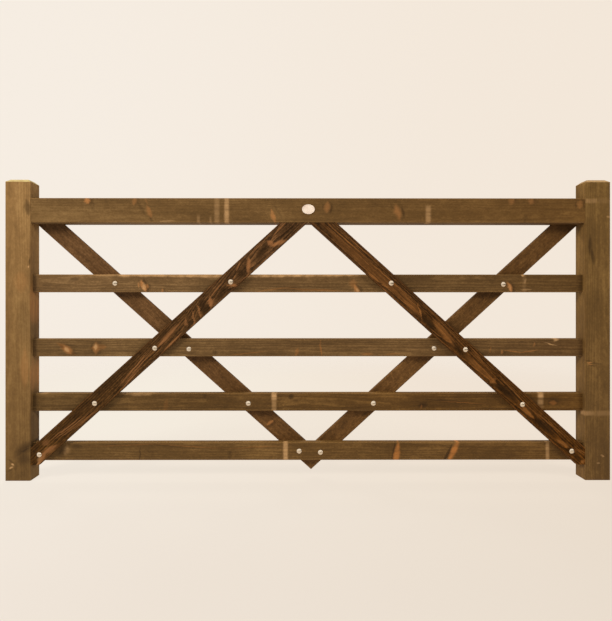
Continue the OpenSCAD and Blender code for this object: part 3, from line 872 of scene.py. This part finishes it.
# How much of the floor's colour is its own glow, and where it fades into the room.
FLOOR_GLOW, FLOOR_FADE = 0.88, (2.4, 5.0)
FLOOR_MATT = tint(240, 230, 217)
NEAR_LEFT, NEAR_RIGHT = tint(242, 232, 221), tint(232, 218, 201)
FAR_LEFT, FAR_RIGHT = tint(247, 239, 226), tint(245, 231, 215)

CREAM_LEFT, CREAM_RIGHT, CREAM_BELOW = tint(246, 237, 226), tint(243, 231, 217), tint(238, 228, 215)
WARM = (1.0, 0.97, 0.92)
ROOM_LIGHT = 0.27
# What the zinc mirrors: a bright ceiling, a window at the left and a dim wall by the camera.
CEILING, WINDOW, DIM_WALL = 1.12, 0.75, 0.08

SOFTBOX_WIDE = 1.4
SOFTBOX_AIM = Vector((0, 0, 0.6))

EYE = (-0.0468, -2.1688, 0.7064)
EYE_TURN = math.radians(-0.21)
SENSOR_WIDE, LENS = 36.0, 31.62
SHIFT_X, SHIFT_Y = 0.0122, -0.01335


def floor():
    bpy.ops.object.select_all(action="DESELECT")
    bpy.ops.mesh.primitive_circle_add(vertices=FLOOR_SIDES, radius=FLOOR_RADIUS, fill_type="NGON",
                                      location=(0, 0, -FLOOR_DROP))
    disc = bpy.context.object
    disc.name = "floor"
    cream = Finish(bpy.data.materials.new("cream_floor"))
    spot = cream.place()
    x, y, _ = cream.parts(spot)
    far = (x * x + y * y).root()
    cloud = cream.noise(spot, waves=(0.8, 0.8, 0.8), seed=(1.0, 2.0, 3.0), detail=3.0)
    right = x.rise(-FLOOR_ASIDE, FLOOR_ASIDE, "LINEAR") + (cloud - 0.5) * 0.3
    near = cream.blend(NEAR_LEFT, NEAR_RIGHT, right)
    behind = cream.blend(FAR_LEFT, FAR_RIGHT, right)
    shown = cream.blend(behind, near, y.rise(FLOOR_AHEAD, -FLOOR_AHEAD, "LINEAR"))
    matt = cream.node("BsdfDiffuse", None, {"Color": FLOOR_MATT})
    glow = cream.node("Emission", None, {"Color": shown, "Strength": 1.0})
    lit = cream.node("MixShader", None, {0: FLOOR_GLOW, 1: matt, 2: glow})
    clear = cream.node("BsdfTransparent")
    faded = cream.node("MixShader", None, {0: far.rise(*FLOOR_FADE), 1: lit, 2: clear})
    cream.node("OutputMaterial", None, {"Surface": faded})
    disc.data.materials.append(cream.owner)


def room():
    cream = Finish(bpy.data.worlds.new("cream_room"))
    x, _, z = cream.parts(cream.node("TexCoord", out="Generated"))
    wall = cream.blend(CREAM_LEFT, CREAM_RIGHT, x.rise(-0.5, 0.5))
    wall = cream.blend(CREAM_BELOW, wall, z.rise(-0.55, 0.05))
    seen = cream.node("LightPath", out="Is Camera Ray")
    mirrored = cream.node("LightPath", out="Is Glossy Ray")
    panels = (z.rise(0.12, 0.45) * CEILING + x.rise(-0.25, -0.75) * WINDOW + DIM_WALL).least(CEILING)
    strength = mirrored * (panels - ROOM_LIGHT) + ROOM_LIGHT
    shown = cream.node("Background", None, {"Color": wall, "Strength": 1.0})
    cast = cream.node("Background", None, {"Color": (*WARM, 1.0), "Strength": strength})
    both = cream.node("MixShader", None, {0: seen, 1: cast, 2: shown})
    cream.node("OutputWorld", None, {"Surface": both})
    bpy.context.scene.world = cream.owner


def softbox(name, spot, power):
    data = bpy.data.lights.new(name, "AREA")
    data.shape = "SQUARE"
    data.size = SOFTBOX_WIDE
    data.energy = power
    data.color = WARM
    lamp = bpy.data.objects.new(name, data)
    lamp.location = spot
    lamp.rotation_euler = (SOFTBOX_AIM - Vector(spot)).to_track_quat("-Z", "Y").to_euler()
    lamp.visible_glossy = False
    bpy.context.scene.collection.objects.link(lamp)


floor()
room()
softbox("left_softbox", (-3.5, -3.0, 3.1), power=175)
softbox("right_softbox", (3.6, -2.9, 2.7), power=92)
softbox("back_softbox", (-1.5, 3.6, 3.6), power=75)

eye = bpy.data.cameras.new("photo_camera")
eye.sensor_fit = "HORIZONTAL"
eye.sensor_width = SENSOR_WIDE
eye.lens = LENS
eye.shift_x = SHIFT_X
eye.shift_y = SHIFT_Y
camera = bpy.data.objects.new("photo_camera", eye)
camera.location = EYE
camera.rotation_euler = (math.radians(90), 0, EYE_TURN)
bpy.context.scene.collection.objects.link(camera)
bpy.context.scene.camera = camera
bpy.context.scene.view_settings.view_transform = "Standard"
